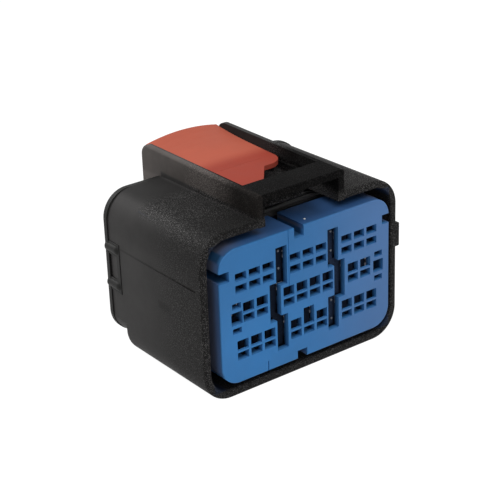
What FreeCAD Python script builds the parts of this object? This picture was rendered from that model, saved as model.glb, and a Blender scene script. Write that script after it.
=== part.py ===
"""Sealed multi-way plug connector with a latch hood, in millimetres.

The mating side faces -Y, up is +Z and X runs across the face. Every shape is drawn with the rim of
the shell at Y = 0, the middle of the face at X = 0 and the underside at Z = -BOTTOM_EXTRA. export_all
moves the whole part so that the origin ends up in the middle of the flat underside.
"""

import FreeCAD, Part
import os

Vector = FreeCAD.Vector

# outer shell
SHELL_WIDTH = 54.2
SHELL_HEIGHT = 38.5
SHELL_DEPTH = 35.1
BOTTOM_EXTRA = 0.35
SHELL_CORNER = 6.8
SHELL_TOP_DRAFT = 0.5
SHELL_SIDE_DRAFT = 0.25
SHELL_WALL = 1.75
RIM_ROUND = 0.6
RIM_INNER_ROUND = 0.4
STEP_HEIGHT = 3.1
STEP_LENGTH = 5.0

# space between shell and core that takes the mating shroud
SHROUD_GAP = 1.8
SHROUD_DEPTH = 19.0

# front holder, a cap over the core
HOLDER_PROUD = 1.4
HOLDER_FACE = 1.4
HOLDER_SKIRT_WALL = 1.3
HOLDER_SKIRT_REACH = 7.6
HOLDER_CORNER = 4.6
HOLDER_ROUND = 0.3
HOLDER_TRAVEL = 1.4
HOLDER_CLEARANCE = 0.15
TONGUE_WIDTH = 1.7
TONGUE_THICKNESS = 0.6
TONGUE_LENGTH = 5.0

# key grooves in the outline of the holder
KEY_WALL = 0.9
TOP_KEY_X = -2.2
TOP_KEY_WIDTH = 2.6
TOP_KEY_DEPTH = 2.45
BOTTOM_KEY_X = -1.85
BOTTOM_KEY_WIDTH = 2.7
BOTTOM_KEY_DEPTH = 2.0
LEFT_KEY_DROP = 9.4
LEFT_KEY_WIDTH = 2.35
LEFT_KEY_DEPTH = 2.6
RIGHT_KEY_DROP = 8.9
RIGHT_KEY_WIDTH = 2.2
RIGHT_KEY_DEPTH = 2.15

# contact grid
GRID_MARGIN = 8.975
GRID_SHIFT = 0.17
ENTRY_WALL = 0.675
TOP_ROW_SHARE = 0.7571
TOP_ROW_ENTRY = 1.8
TOP_ROW_WEB = 0.95
MIDDLE_ROW_SHARE = 0.5701
BOTTOM_ROW_SHARE = 0.3506
TALL_ENTRY = 2.3
TALL_ENTRY_EXTRA = 1.85
SERVICE_HOLE = 1.75
ENTRY_BAR = 0.5
ENTRY_BAR_DEPTH = 0.6
SIDE_COLUMNS = (-5, -4, -3, -1, 0, 1, 3, 4, 5)
MIDDLE_COLUMNS = (-4.5, -3.5, -1.5, -0.5, 0.5, 1.5, 3.5, 4.5)

# power contacts, one near each side of the middle row
POWER_LEFT_SPACING = 3.16
POWER_RIGHT_INSET = 3.25
POWER_DROP = 3.05
POWER_ENTRY_WIDTH = 2.9
POWER_ENTRY_HEIGHT = 2.9
POWER_SIDE_HOLE_WIDTH = 2.3
POWER_SIDE_HOLE_HEIGHT = 1.3
POWER_SIDE_HOLE_SPACING = 2.9

# stepped slots of the holder and the ribs of the core that stand in them
SLOT_WALL = 0.625
SLOT_COLUMN = 2
SLOT_SHIFT = 0.1
SLOT_TOP_MARGIN = 3.2
SLOT_UPPER_RISE = 1.3
SLOT_LOWER_RISE = 1.7
SLOT_BOTTOM_MARGIN = 3.95
SLOT_OVERLAP = 1.0
RIB_CLEARANCE = 0.2
RIB_RECESS = 0.5

# small marks on the holder's face
SEAM_X = -5.05
SEAM_LENGTH = 13.5
SEAM_WIDTH = 0.2
SEAM_HEIGHT = 0.12
SLIT_X = -11.3
SLIT_WIDTH = 0.25
SLIT_HEIGHT = 2.4
SLIT_DEPTH = 0.5

# core inside the shell
CAVITY_SIDE_CLEARANCE = 0.15
CAVITY_TOP_CLEARANCE = 0.2
SERVICE_CHANNEL_LENGTH = 7.5

# perimeter seal on the core
SEAL_FRONT_Y = 9.3
SEAL_LENGTH = 5.0
SEAL_END_CLEARANCE = 0.1
SEAL_BODY = 1.0
SEAL_RIB_HEIGHT = 0.8
SEAL_RIB_COUNT = 3

# contacts
CONTACT_FRONT_Y = 2.2
CONTACT_WIDTH = 2.0
CONTACT_HEIGHT = 1.9
CONTACT_BOX_LENGTH = 8.0
CONTACT_NECK_LENGTH = 2.5
CONTACT_NECK_WIDTH = 1.1
CONTACT_CRIMP_LENGTH = 3.4
CONTACT_GRIP_LENGTH = 2.6
CONTACT_BORE = 1.1
CONTACT_SOCKET_WIDTH = 1.5
CONTACT_SOCKET_HEIGHT = 0.8
POWER_CONTACT_WIDTH = 2.7
POWER_CONTACT_HEIGHT = 2.5
POWER_CONTACT_BORE = 1.6
POWER_SOCKET_WIDTH = 2.1
POWER_SOCKET_HEIGHT = 0.9

# wire seal and its pocket in the back of the core
SEAL_POCKET_SIDE_WALL = 3.7
SEAL_POCKET_BOTTOM = 6.6
SEAL_POCKET_TOP_WALL = 6.7
SEAL_POCKET_CORNER = 3.0
SEAL_POCKET_DEPTH = 7.6
WIRE_SEAL_THICKNESS = 6.2
WIRE_HOLE = 1.5
POWER_WIRE_HOLE = 2.2
WIRE_SEAL_EDGE_RIB = 0.3

# rear cover that keeps the wire seal in
COVER_FLANGE = 1.8
COVER_PROUD = 0.3
COVER_CORNER = 6.4
COVER_PLUG_CLEARANCE = 0.2
COVER_WIRE_HOLE = 2.3
COVER_POWER_WIRE_HOLE = 3.0
COVER_HOOD_CLEARANCE = 0.25
LOOP_THICKNESS = 1.25
LOOP_PROUD = 0.2
LOOP_REACH = 4.1
LOOP_LENGTH = 12.0
LOOP_RISE = 1.75
LOOP_LEG = 3.2
LOOP_BAR = 1.2
LOOP_CLEARANCE = 0.06
LOOP_ROUND = 0.12
LOOP_RIB_RADIUS = 1.3
LOOP_RIB_PROUD = 0.7
CATCH_HEIGHT = 1.2
CATCH_REAR_SHARE = 0.75

# latch hood on top of the shell
HOOD_WIDTH = 23.5
HOOD_HEIGHT = 5.3
HOOD_OVERHANG = 8.2
HOOD_RAIL = 1.6
HOOD_ROUND = 0.6
HOOD_REAR_ROUND = 2.6
BRIDGE_LENGTH = 7.3
BRIDGE_THICKNESS = 1.6
CHEEK_DROP = 5.0
HOOD_FLOOR_SETBACK = 3.8
MOUTH_LEDGE = 0.15
MOUTH_LENGTH = 16.0

# latch arm, moulded with the shell
ARM_WIDTH = 9.6
ARM_THICKNESS = 1.3
ARM_LIFT = 0.4
ARM_FRONT_Y = 5.2
ARM_ROOT_LENGTH = 3.0
HOOK_LENGTH = 2.6
HOOK_DROP = 1.7

# lock slider
SLIDER_SIDE_CLEARANCE = 0.15
SLIDER_ARM_CLEARANCE = 0.15
SLIDER_THICKNESS = 1.1
SLIDER_TUCK = 0.2
SLIDER_SHORT_FRONT_Y = 17.8
SLIDER_PRONG_X = -1.2
SLIDER_SHORT_X = 3.9
SLIDER_CORNER = 4.3
SLIDER_OVERHANG = 0.4
SLIDER_TRAVEL = 4.5
SLIDER_TONGUE = 0.55
SLIDER_TONGUE_THICKNESS = 0.8
GROOVE_FRONT_Y = 6.0
HUMP_FRONT_Y = 22.0
HUMP_EDGE_RISE = 0.6
HUMP_CROWN = 1.1
HUMP_SECTIONS = 9
LIP_RISE = 0.75

# small outside features of the shell
SIDE_GROOVE_DROP = 12.35
SIDE_GROOVE_WIDTH = 0.4
SIDE_GROOVE_DEPTH = 0.2
SIDE_GROOVE_START = 2.2
TAB_DROP = 11.8
TAB_HEIGHT = 5.6
TAB_LENGTH = 3.0
TAB_PROUD = 1.1

# worked out from the sizes above
HALF_WIDTH = SHELL_WIDTH / 2
REAR_HALF_WIDTH = HALF_WIDTH - SHELL_SIDE_DRAFT
REAR_TOP = SHELL_HEIGHT - SHELL_TOP_DRAFT
UNDERSIDE_LENGTH = SHELL_DEPTH - STEP_LENGTH
GAP_INSET = SHELL_WALL + SHROUD_GAP
HOLDER_HALF_WIDTH = HALF_WIDTH - GAP_INSET
HOLDER_BOTTOM = GAP_INSET
HOLDER_TOP = SHELL_HEIGHT - GAP_INSET
NECK_INSET = HOLDER_SKIRT_WALL + HOLDER_CLEARANCE
CORE_FACE_Y = HOLDER_FACE - HOLDER_PROUD + HOLDER_TRAVEL + HOLDER_CLEARANCE
LEFT_KEY_Z = SHELL_HEIGHT - LEFT_KEY_DROP
RIGHT_KEY_Z = SHELL_HEIGHT - RIGHT_KEY_DROP
PITCH = (SHELL_WIDTH - 2 * GRID_MARGIN) / (SIDE_COLUMNS[-1] - SIDE_COLUMNS[0])
ENTRY_WIDTH = PITCH - ENTRY_WALL
TOP_ROW_Z = SHELL_HEIGHT * TOP_ROW_SHARE
MIDDLE_ROW_Z = SHELL_HEIGHT * MIDDLE_ROW_SHARE
BOTTOM_ROW_Z = SHELL_HEIGHT * BOTTOM_ROW_SHARE
POWER_LEFT_X = MIDDLE_COLUMNS[0] * PITCH + GRID_SHIFT - POWER_LEFT_SPACING
POWER_RIGHT_X = HOLDER_HALF_WIDTH - POWER_RIGHT_INSET
POWER_Z = MIDDLE_ROW_Z - POWER_DROP
SLOT_WIDTH = PITCH - SLOT_WALL
SLOT_X = SLOT_COLUMN * PITCH - SLOT_SHIFT
SLOT_JOG = PITCH / 2
SLOT_TOP = HOLDER_TOP - SLOT_TOP_MARGIN
SLOT_UPPER_STEP = MIDDLE_ROW_Z + SLOT_UPPER_RISE
SLOT_LOWER_STEP = BOTTOM_ROW_Z + SLOT_LOWER_RISE
SLOT_BOTTOM = HOLDER_BOTTOM + SLOT_BOTTOM_MARGIN
SEAL_REAR_Y = SEAL_FRONT_Y + SEAL_LENGTH
SHOULDER_Y = SEAL_REAR_Y + SEAL_END_CLEARANCE
SEAL_POCKET_HALF_WIDTH = HALF_WIDTH - SEAL_POCKET_SIDE_WALL
SEAL_POCKET_TOP = SHELL_HEIGHT - SEAL_POCKET_TOP_WALL
POCKET_FLOOR_Y = SHELL_DEPTH - SEAL_POCKET_DEPTH
WIRE_SEAL_REAR_Y = POCKET_FLOOR_Y + WIRE_SEAL_THICKNESS
COVER_REAR_Y = SHELL_DEPTH + COVER_FLANGE
LOOP_BOTTOM = SHELL_HEIGHT / 2 + LOOP_RISE - LOOP_LENGTH / 2
LOOP_TOP = LOOP_BOTTOM + LOOP_LENGTH
HOOD_LENGTH = SHELL_DEPTH + HOOD_OVERHANG
HOOD_FLOOR_LENGTH = HOOD_LENGTH - HOOD_FLOOR_SETBACK
CHEEK_BOTTOM = SHELL_HEIGHT - CHEEK_DROP
HOOD_HALF_WIDTH = HOOD_WIDTH / 2
CHANNEL_HALF_WIDTH = HOOD_HALF_WIDTH - HOOD_RAIL
MOUTH_WIDTH = 2 * (CHANNEL_HALF_WIDTH - MOUTH_LEDGE)
HOOD_TOP = SHELL_HEIGHT + HOOD_HEIGHT
ARM_BOTTOM = SHELL_HEIGHT + ARM_LIFT
ARM_TOP = ARM_BOTTOM + ARM_THICKNESS
SLIDER_BOTTOM = ARM_TOP + SLIDER_ARM_CLEARANCE
SLIDER_TOP = SLIDER_BOTTOM + SLIDER_THICKNESS
SLIDER_HALF_WIDTH = CHANNEL_HALF_WIDTH - SLIDER_SIDE_CLEARANCE
SLIDER_FRONT_Y = BRIDGE_LENGTH + SLIDER_TRAVEL - SLIDER_TUCK
SLIDER_REAR_Y = HOOD_LENGTH + SLIDER_OVERHANG
SIDE_GROOVE_Z = SHELL_HEIGHT - SIDE_GROOVE_DROP
TAB_TOP = SHELL_HEIGHT - TAB_DROP
TAB_BOTTOM = TAB_TOP - TAB_HEIGHT
EPS = 0.5


def box(x0, x1, y0, y1, z0, z1):
    """A block between two corners."""
    return Part.makeBox(x1 - x0, y1 - y0, z1 - z0, Vector(x0, y0, z0))


def rounded_outline(x0, x1, z0, z1, radius, y):
    """A rounded rectangle across the mating direction."""
    bend = radius * (1 - 0.5 ** 0.5)
    corners = [
        (Vector(x1 - radius, y, z0), Vector(x1 - bend, y, z0 + bend), Vector(x1, y, z0 + radius)),
        (Vector(x1, y, z1 - radius), Vector(x1 - bend, y, z1 - bend), Vector(x1 - radius, y, z1)),
        (Vector(x0 + radius, y, z1), Vector(x0 + bend, y, z1 - bend), Vector(x0, y, z1 - radius)),
        (Vector(x0, y, z0 + radius), Vector(x0 + bend, y, z0 + bend), Vector(x0 + radius, y, z0)),
    ]
    edges = []
    for index, corner in enumerate(corners):
        edges.append(Part.Arc(*corner).toShape())
        following = corners[(index + 1) % len(corners)]
        edges.append(Part.LineSegment(corner[2], following[0]).toShape())
    return Part.Wire(edges)


def rounded_prism(x0, x1, y0, y1, z0, z1, radius):
    """A block with its four long edges rounded."""
    face = Part.Face(rounded_outline(x0, x1, z0, z1, radius, y0))
    return face.extrude(Vector(0, y1 - y0, 0))


def inset_prism(inset, y0, y1, radius):
    """The outline of the shell, drawn in by an inset on all sides."""
    return rounded_prism(
        -HALF_WIDTH + inset, HALF_WIDTH - inset, y0, y1, inset, SHELL_HEIGHT - inset, radius
    )


def cylinder_y(radius, x, z, y0, y1):
    """A round bar along the mating direction."""
    return Part.makeCylinder(radius, y1 - y0, Vector(x, y0, z), Vector(0, 1, 0))


def fuse_all(first, others):
    """One solid from several that meet."""
    return first.multiFuse(list(others)).removeSplitter()


def cut_all(solid, tools):
    """A solid with every tool taken out of it."""
    return solid.cut(list(tools))


def tapered_block(half_front, half_rear, y0, y1, z0, top_front, top_rear):
    """A block with a level underside whose sides and top draw in towards the back."""
    corners = []
    for y, half, top in ((y0, half_front, top_front), (y1, half_rear, top_rear)):
        lower = [Vector(-half, y, z0), Vector(half, y, z0)]
        upper = [Vector(half, y, top), Vector(-half, y, top)]
        corners.append(lower + upper)
    front, rear = corners
    loops = [front, rear]
    for index in range(4):
        following = (index + 1) % 4
        loops.append([front[index], front[following], rear[following], rear[index]])
    faces = [Part.Face(Part.makePolygon(loop + loop[:1])) for loop in loops]
    return Part.Solid(Part.Shell(faces))


def edges_at(solid, test):
    """The edges whose two ends and middle all pass a test."""
    found = []
    for edge in solid.Edges:
        middle = edge.valueAt((edge.FirstParameter + edge.LastParameter) / 2)
        points = [vertex.Point for vertex in edge.Vertexes] + [middle]
        if all(test(point) for point in points):
            found.append(edge)
    return found


def contact_places():
    """Name, column X, top of the entry and kind of every contact in the grid."""
    places = []
    for number, column in enumerate(SIDE_COLUMNS, 1):
        places.append((f"contact_top_{number}", column * PITCH + GRID_SHIFT, TOP_ROW_Z, "top"))
    for number, column in enumerate(MIDDLE_COLUMNS, 1):
        places.append((f"contact_middle_{number}", column * PITCH + GRID_SHIFT, MIDDLE_ROW_Z, "tall"))
    for number, column in enumerate(SIDE_COLUMNS, 1):
        places.append((f"contact_bottom_{number}", column * PITCH + GRID_SHIFT, BOTTOM_ROW_Z, "tall"))
    return places


def entry_height(kind):
    """How tall the blade entry of a row is."""
    return TOP_ROW_ENTRY if kind == "top" else TALL_ENTRY


def web_height(kind):
    """How tall the bar between a blade entry and its service hole is."""
    return TOP_ROW_WEB if kind == "top" else ENTRY_BAR


def service_top(entry_top, kind):
    """The upper edge of the service hole under an entry."""
    return entry_top - entry_height(kind) - web_height(kind)


def contact_floor(entry_top):
    """Where the underside of a contact lies."""
    return entry_top - CONTACT_HEIGHT - CAVITY_TOP_CLEARANCE


def power_floor():
    """Where the underside of a power contact lies."""
    return POWER_Z - POWER_CONTACT_HEIGHT / 2


def slot_blocks(side, clearance, y0, y1):
    """The three overlapping blocks of one stepped slot, or of the rib in it."""
    outer = SLOT_X + SLOT_JOG
    spans = [
        (SLOT_X, SLOT_UPPER_STEP - SLOT_OVERLAP / 2, SLOT_TOP),
        (outer, SLOT_LOWER_STEP - SLOT_OVERLAP / 2, SLOT_UPPER_STEP + SLOT_OVERLAP / 2),
        (SLOT_X, SLOT_BOTTOM, SLOT_LOWER_STEP + SLOT_OVERLAP / 2),
    ]
    half = SLOT_WIDTH / 2 - clearance
    blocks = []
    for x, z0, z1 in spans:
        middle = side * x
        blocks.append(box(middle - half, middle + half, y0, y1, z0 + clearance, z1 - clearance))
    return blocks


def key_blocks(grow, y0, y1):
    """The four key grooves of the outline, grown on their inner sides."""
    left = -HOLDER_HALF_WIDTH
    right = HOLDER_HALF_WIDTH
    top_half = TOP_KEY_WIDTH / 2 + grow
    bottom_half = BOTTOM_KEY_WIDTH / 2 + grow
    left_half = LEFT_KEY_WIDTH / 2 + grow
    right_half = RIGHT_KEY_WIDTH / 2 + grow
    return [
        box(TOP_KEY_X - top_half, TOP_KEY_X + top_half, y0, y1,
            HOLDER_TOP - TOP_KEY_DEPTH - grow, HOLDER_TOP + EPS),
        box(BOTTOM_KEY_X - bottom_half, BOTTOM_KEY_X + bottom_half, y0, y1,
            HOLDER_BOTTOM - EPS, HOLDER_BOTTOM + BOTTOM_KEY_DEPTH + grow),
        box(left - EPS, left + LEFT_KEY_DEPTH + grow, y0, y1,
            LEFT_KEY_Z - left_half, LEFT_KEY_Z + left_half),
        box(right - RIGHT_KEY_DEPTH - grow, right + EPS, y0, y1,
            RIGHT_KEY_Z - right_half, RIGHT_KEY_Z + right_half),
    ]


def holder_outline(inset, y0, y1):
    """The outline of the holder as a solid, drawn in by an inset."""
    return rounded_prism(
        -HOLDER_HALF_WIDTH + inset, HOLDER_HALF_WIDTH - inset, y0, y1,
        HOLDER_BOTTOM + inset, HOLDER_TOP - inset, HOLDER_CORNER - inset
    )


def shell_outside():
    """The outer body of the shell, drawn in towards the back, with its stepped underside."""
    body = tapered_block(
        HALF_WIDTH, REAR_HALF_WIDTH, 0, SHELL_DEPTH, -BOTTOM_EXTRA, SHELL_HEIGHT, REAR_TOP
    )
    long_edges = [edge for edge in body.Edges if edge.BoundBox.YLength > SHELL_DEPTH / 2]
    body = body.makeFillet(SHELL_CORNER, long_edges)
    rim = edges_at(body, lambda point: abs(point.y) < 0.01)
    body = body.makeFillet(RIM_ROUND, rim)
    step = box(
        -HALF_WIDTH, HALF_WIDTH, UNDERSIDE_LENGTH, SHELL_DEPTH + EPS, -BOTTOM_EXTRA - EPS, SHELL_HEIGHT / 2
    )
    kept = rounded_prism(
        -HALF_WIDTH, HALF_WIDTH, UNDERSIDE_LENGTH - EPS, SHELL_DEPTH + 2 * EPS,
        STEP_HEIGHT, SHELL_HEIGHT, SHELL_CORNER
    )
    return body.cut(step.cut(kept))


def core():
    """The block inside the shell that carries the contacts."""
    neck = holder_outline(NECK_INSET, CORE_FACE_Y, SHOULDER_Y + EPS)
    neck = cut_all(neck, key_blocks(KEY_WALL + HOLDER_CLEARANCE, CORE_FACE_Y - EPS, SEAL_FRONT_Y - EPS / 2))
    shoulder = holder_outline(0, SHOULDER_Y, SHROUD_DEPTH + EPS)
    ribs = []
    for side in (-1, 1):
        ribs += slot_blocks(side, RIB_CLEARANCE, RIB_RECESS, CORE_FACE_Y + EPS)
    return fuse_all(neck, [shoulder] + ribs)


def contact_cavities():
    """The channels for the contacts, and the service channels that lie under them."""
    tools = []
    half = CONTACT_WIDTH / 2 + CAVITY_SIDE_CLEARANCE
    front = CORE_FACE_Y - EPS
    rear = POCKET_FLOOR_Y + EPS
    service_rear = CORE_FACE_Y + SERVICE_CHANNEL_LENGTH
    for _, x, top, kind in contact_places():
        floor = contact_floor(top)
        tools.append(box(x - half, x + half, front, rear, floor, top))
        bottom = service_top(top, kind) - SERVICE_HOLE - TONGUE_THICKNESS - HOLDER_CLEARANCE
        tools.append(box(x - half, x + half, front, service_rear, bottom, floor))
    power_half = POWER_CONTACT_WIDTH / 2 + CAVITY_SIDE_CLEARANCE
    floor = power_floor()
    top = floor + POWER_CONTACT_HEIGHT + CAVITY_TOP_CLEARANCE
    for x in (POWER_LEFT_X, POWER_RIGHT_X):
        tools.append(box(x - power_half, x + power_half, front, rear, floor, top))
    return tools


def seal_pocket():
    """The pocket for the wire seal in the back of the shell."""
    return rounded_prism(
        -SEAL_POCKET_HALF_WIDTH, SEAL_POCKET_HALF_WIDTH, POCKET_FLOOR_Y, SHELL_DEPTH + EPS,
        SEAL_POCKET_BOTTOM, SEAL_POCKET_TOP, SEAL_POCKET_CORNER
    )


def hood():
    """Rails, bridge, floor and cheeks of the hood."""
    outside = box(-HOOD_HALF_WIDTH, HOOD_HALF_WIDTH, 0, HOOD_LENGTH, SHELL_HEIGHT - SHELL_WALL, HOOD_TOP)
    cheeks = box(-HOOD_HALF_WIDTH, HOOD_HALF_WIDTH, SHELL_DEPTH, HOOD_LENGTH, CHEEK_BOTTOM, SHELL_HEIGHT)
    outside = outside.fuse(cheeks).removeSplitter()
    rear_edge = edges_at(outside, lambda point: point.z > HOOD_TOP - 0.01 and point.y > HOOD_LENGTH - 0.01)
    outside = outside.makeFillet(HOOD_REAR_ROUND, rear_edge)
    sides = edges_at(
        outside,
        lambda point: point.z > HOOD_TOP - HOOD_REAR_ROUND - 0.01
        and point.y < HOOD_LENGTH + 0.01
        and (abs(abs(point.x) - HOOD_HALF_WIDTH) < 0.01 or point.y < 0.01),
    )
    outside = outside.makeFillet(HOOD_ROUND, sides)
    channel = box(
        -CHANNEL_HALF_WIDTH, CHANNEL_HALF_WIDTH, -EPS, HOOD_LENGTH + EPS, SHELL_HEIGHT, HOOD_TOP + EPS
    )
    bridge = box(
        -CHANNEL_HALF_WIDTH - EPS, CHANNEL_HALF_WIDTH + EPS, -EPS - 1, BRIDGE_LENGTH,
        HOOD_TOP - BRIDGE_THICKNESS, HOOD_TOP + EPS + 1
    )
    channel = channel.cut(bridge)
    behind = box(
        -CHANNEL_HALF_WIDTH, CHANNEL_HALF_WIDTH, SHELL_DEPTH, HOOD_LENGTH + EPS,
        CHEEK_BOTTOM - EPS, SHELL_HEIGHT - SHELL_WALL
    )
    floor_end = box(
        -CHANNEL_HALF_WIDTH, CHANNEL_HALF_WIDTH, HOOD_FLOOR_LENGTH, HOOD_LENGTH + EPS,
        CHEEK_BOTTOM - EPS, SHELL_HEIGHT + EPS
    )
    return cut_all(outside, [channel, behind, floor_end])


def latch_arm():
    """The springy arm inside the hood, with its hook at the front."""
    root_front = MOUTH_LENGTH
    root = box(-ARM_WIDTH / 2, ARM_WIDTH / 2, root_front, root_front + ARM_ROOT_LENGTH,
               SHELL_HEIGHT - EPS, ARM_TOP)
    arm = box(-ARM_WIDTH / 2, ARM_WIDTH / 2, ARM_FRONT_Y, root_front + EPS, ARM_BOTTOM, ARM_TOP)
    profile = [
        Vector(-ARM_WIDTH / 2, ARM_FRONT_Y, ARM_BOTTOM + EPS),
        Vector(-ARM_WIDTH / 2, ARM_FRONT_Y, ARM_BOTTOM - HOOK_DROP / 3),
        Vector(-ARM_WIDTH / 2, ARM_FRONT_Y + HOOK_LENGTH * 0.7, ARM_BOTTOM - HOOK_DROP),
        Vector(-ARM_WIDTH / 2, ARM_FRONT_Y + HOOK_LENGTH, ARM_BOTTOM - HOOK_DROP),
        Vector(-ARM_WIDTH / 2, ARM_FRONT_Y + HOOK_LENGTH, ARM_BOTTOM + EPS),
    ]
    hook = Part.Face(Part.makePolygon(profile + profile[:1])).extrude(Vector(ARM_WIDTH, 0, 0))
    return root.multiFuse([arm, hook]).removeSplitter()


def slider_grooves():
    """The grooves in both rails that guide the lock slider."""
    z0 = SLIDER_BOTTOM - SLIDER_SIDE_CLEARANCE
    z1 = SLIDER_BOTTOM + SLIDER_TONGUE_THICKNESS + SLIDER_SIDE_CLEARANCE
    reach = CHANNEL_HALF_WIDTH + SLIDER_TONGUE
    return box(-reach, reach, GROOVE_FRONT_Y, HOOD_LENGTH + EPS, z0, z1)


def loop_recess(side):
    """The flat recess in the side of the shell for a cover loop."""
    inner = REAR_HALF_WIDTH + LOOP_PROUD - LOOP_THICKNESS - LOOP_CLEARANCE
    x0, x1 = sorted((side * inner, side * (HALF_WIDTH + EPS)))
    return box(x0, x1, SHELL_DEPTH - LOOP_REACH - LOOP_CLEARANCE, SHELL_DEPTH + EPS,
               LOOP_BOTTOM - LOOP_CLEARANCE, LOOP_TOP + LOOP_CLEARANCE)


def loop_catch(side):
    """The wedge that holds a cover loop."""
    inner = REAR_HALF_WIDTH + LOOP_PROUD - LOOP_THICKNESS - LOOP_CLEARANCE
    front = SHELL_DEPTH - LOOP_REACH + LOOP_BAR + LOOP_CLEARANCE
    rear = SHELL_DEPTH - LOOP_CLEARANCE
    z0 = LOOP_BOTTOM + LOOP_LEG + LOOP_CLEARANCE
    z1 = LOOP_TOP - LOOP_LEG - LOOP_CLEARANCE
    profile = [
        Vector(side * (inner - EPS), front, z0),
        Vector(side * (inner + CATCH_HEIGHT), front, z0),
        Vector(side * (inner + CATCH_HEIGHT * CATCH_REAR_SHARE), rear, z0),
        Vector(side * (inner - EPS), rear, z0),
    ]
    return Part.Face(Part.makePolygon(profile + profile[:1])).extrude(Vector(0, 0, z1 - z0))


def side_groove(side):
    """The fine line along the side of the shell."""
    x0, x1 = sorted((side * (HALF_WIDTH - SIDE_GROOVE_DEPTH), side * (HALF_WIDTH + EPS)))
    return box(x0, x1, SIDE_GROOVE_START, SHELL_DEPTH - LOOP_REACH - LOOP_CLEARANCE,
               SIDE_GROOVE_Z - SIDE_GROOVE_WIDTH / 2, SIDE_GROOVE_Z + SIDE_GROOVE_WIDTH / 2)


def side_tab():
    """The key tab at the rim, on the right."""
    tab = box(HALF_WIDTH - EPS, HALF_WIDTH + TAB_PROUD, 0, TAB_LENGTH, TAB_BOTTOM, TAB_TOP)
    outer = edges_at(tab, lambda point: point.x > HALF_WIDTH + TAB_PROUD - 0.01)
    return tab.makeFillet(TAB_PROUD / 2, outer)


def hollow_shell():
    """The shell with the space behind its rim taken out, and the inner edge of the rim rounded."""
    void = inset_prism(SHELL_WALL, -EPS, SHROUD_DEPTH, SHELL_CORNER - SHELL_WALL)
    body = shell_outside().cut(void)
    inner_rim = edges_at(
        body,
        lambda point: abs(point.y) < 0.01
        and abs(point.x) < HALF_WIDTH - SHELL_WALL + 0.01
        and SHELL_WALL - 0.01 < point.z < SHELL_HEIGHT - SHELL_WALL + 0.01,
    )
    return body.makeFillet(RIM_INNER_ROUND, inner_rim)


def make_housing():
    """Shell, core, hood and latch arm, moulded in one."""
    body = hollow_shell().fuse(hood())
    mouth = box(-MOUTH_WIDTH / 2, MOUTH_WIDTH / 2, -EPS, MOUTH_LENGTH,
                SHELL_HEIGHT - SHELL_WALL - EPS, SHELL_HEIGHT + EPS / 2)
    cuts = [mouth, slider_grooves(), seal_pocket()]
    for side in (-1, 1):
        cuts.append(loop_recess(side))
        cuts.append(side_groove(side))
    body = cut_all(body, cuts)
    body = body.multiFuse([core(), latch_arm(), side_tab(), loop_catch(-1), loop_catch(1)])
    body = cut_all(body, contact_cavities())
    return body.removeSplitter()


def holder_windows():
    """Every opening in the face of the front holder."""
    y0 = -HOLDER_PROUD - EPS
    y1 = -HOLDER_PROUD + HOLDER_FACE + EPS
    half = ENTRY_WIDTH / 2
    tools = []
    for _, x, top, kind in contact_places():
        height = entry_height(kind)
        if top == BOTTOM_ROW_Z and abs(x - GRID_SHIFT) < PITCH / 2:
            tools.append(box(x - half, x + half, y0, y1, top - EPS, top + TALL_ENTRY_EXTRA))
        tools.append(box(x - half, x + half, y0, y1, top - height, top))
        lower = service_top(top, kind)
        tools.append(box(x - half, x + half, y0, y1, lower - SERVICE_HOLE, lower))
        if kind == "tall":
            behind_bar = -HOLDER_PROUD + ENTRY_BAR_DEPTH
            tools.append(box(x - half, x + half, behind_bar, y1, lower - EPS / 2, top - height + EPS / 2))
    half = POWER_ENTRY_WIDTH / 2
    tall = POWER_ENTRY_HEIGHT / 2
    side_half = POWER_SIDE_HOLE_WIDTH / 2
    side_tall = POWER_SIDE_HOLE_HEIGHT / 2
    for x in (POWER_LEFT_X, POWER_RIGHT_X):
        tools.append(box(x - half, x + half, y0, y1, POWER_Z - tall, POWER_Z + tall))
        for z in (POWER_Z - POWER_SIDE_HOLE_SPACING, POWER_Z + POWER_SIDE_HOLE_SPACING):
            tools.append(box(x - side_half, x + side_half, y0, y1, z - side_tall, z + side_tall))
    for side in (-1, 1):
        tools += slot_blocks(side, 0, y0, y1)
    return tools


def holder_tongues():
    """The tongues that lock the contacts, one under each service hole."""
    y0 = -HOLDER_PROUD + HOLDER_FACE - EPS / 2
    y1 = -HOLDER_PROUD + HOLDER_FACE + TONGUE_LENGTH
    tongues = []
    for _, x, top, kind in contact_places():
        z1 = service_top(top, kind) - SERVICE_HOLE
        tongues.append(box(x - TONGUE_WIDTH / 2, x + TONGUE_WIDTH / 2, y0, y1, z1 - TONGUE_THICKNESS, z1))
    return tongues


def make_front_holder():
    """The cap over the core: face, skirt, key grooves and locking tongues."""
    front = -HOLDER_PROUD
    inner_face = front + HOLDER_FACE
    rear = HOLDER_SKIRT_REACH
    outside = holder_outline(0, front, rear)
    outside = outside.makeFillet(HOLDER_ROUND, edges_at(outside, lambda point: abs(point.y - front) < 0.01))
    inside = holder_outline(HOLDER_SKIRT_WALL, inner_face, rear + EPS)
    inside = cut_all(inside, key_blocks(KEY_WALL, inner_face - EPS, rear + 2 * EPS))
    holder = outside.cut(inside)
    holder = cut_all(holder, key_blocks(0, front - EPS, rear + EPS))
    seam = box(SEAM_X - SEAM_WIDTH / 2, SEAM_X + SEAM_WIDTH / 2, front - SEAM_HEIGHT, front + EPS,
               HOLDER_TOP - SEAM_LENGTH, HOLDER_TOP)
    holder = fuse_all(holder, [seam] + holder_tongues())
    slit = box(SLIT_X - SLIT_WIDTH / 2, SLIT_X + SLIT_WIDTH / 2, front - EPS, front + SLIT_DEPTH,
               HOLDER_BOTTOM - EPS, HOLDER_BOTTOM + SLIT_HEIGHT)
    return cut_all(holder, holder_windows() + [slit])


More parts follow.
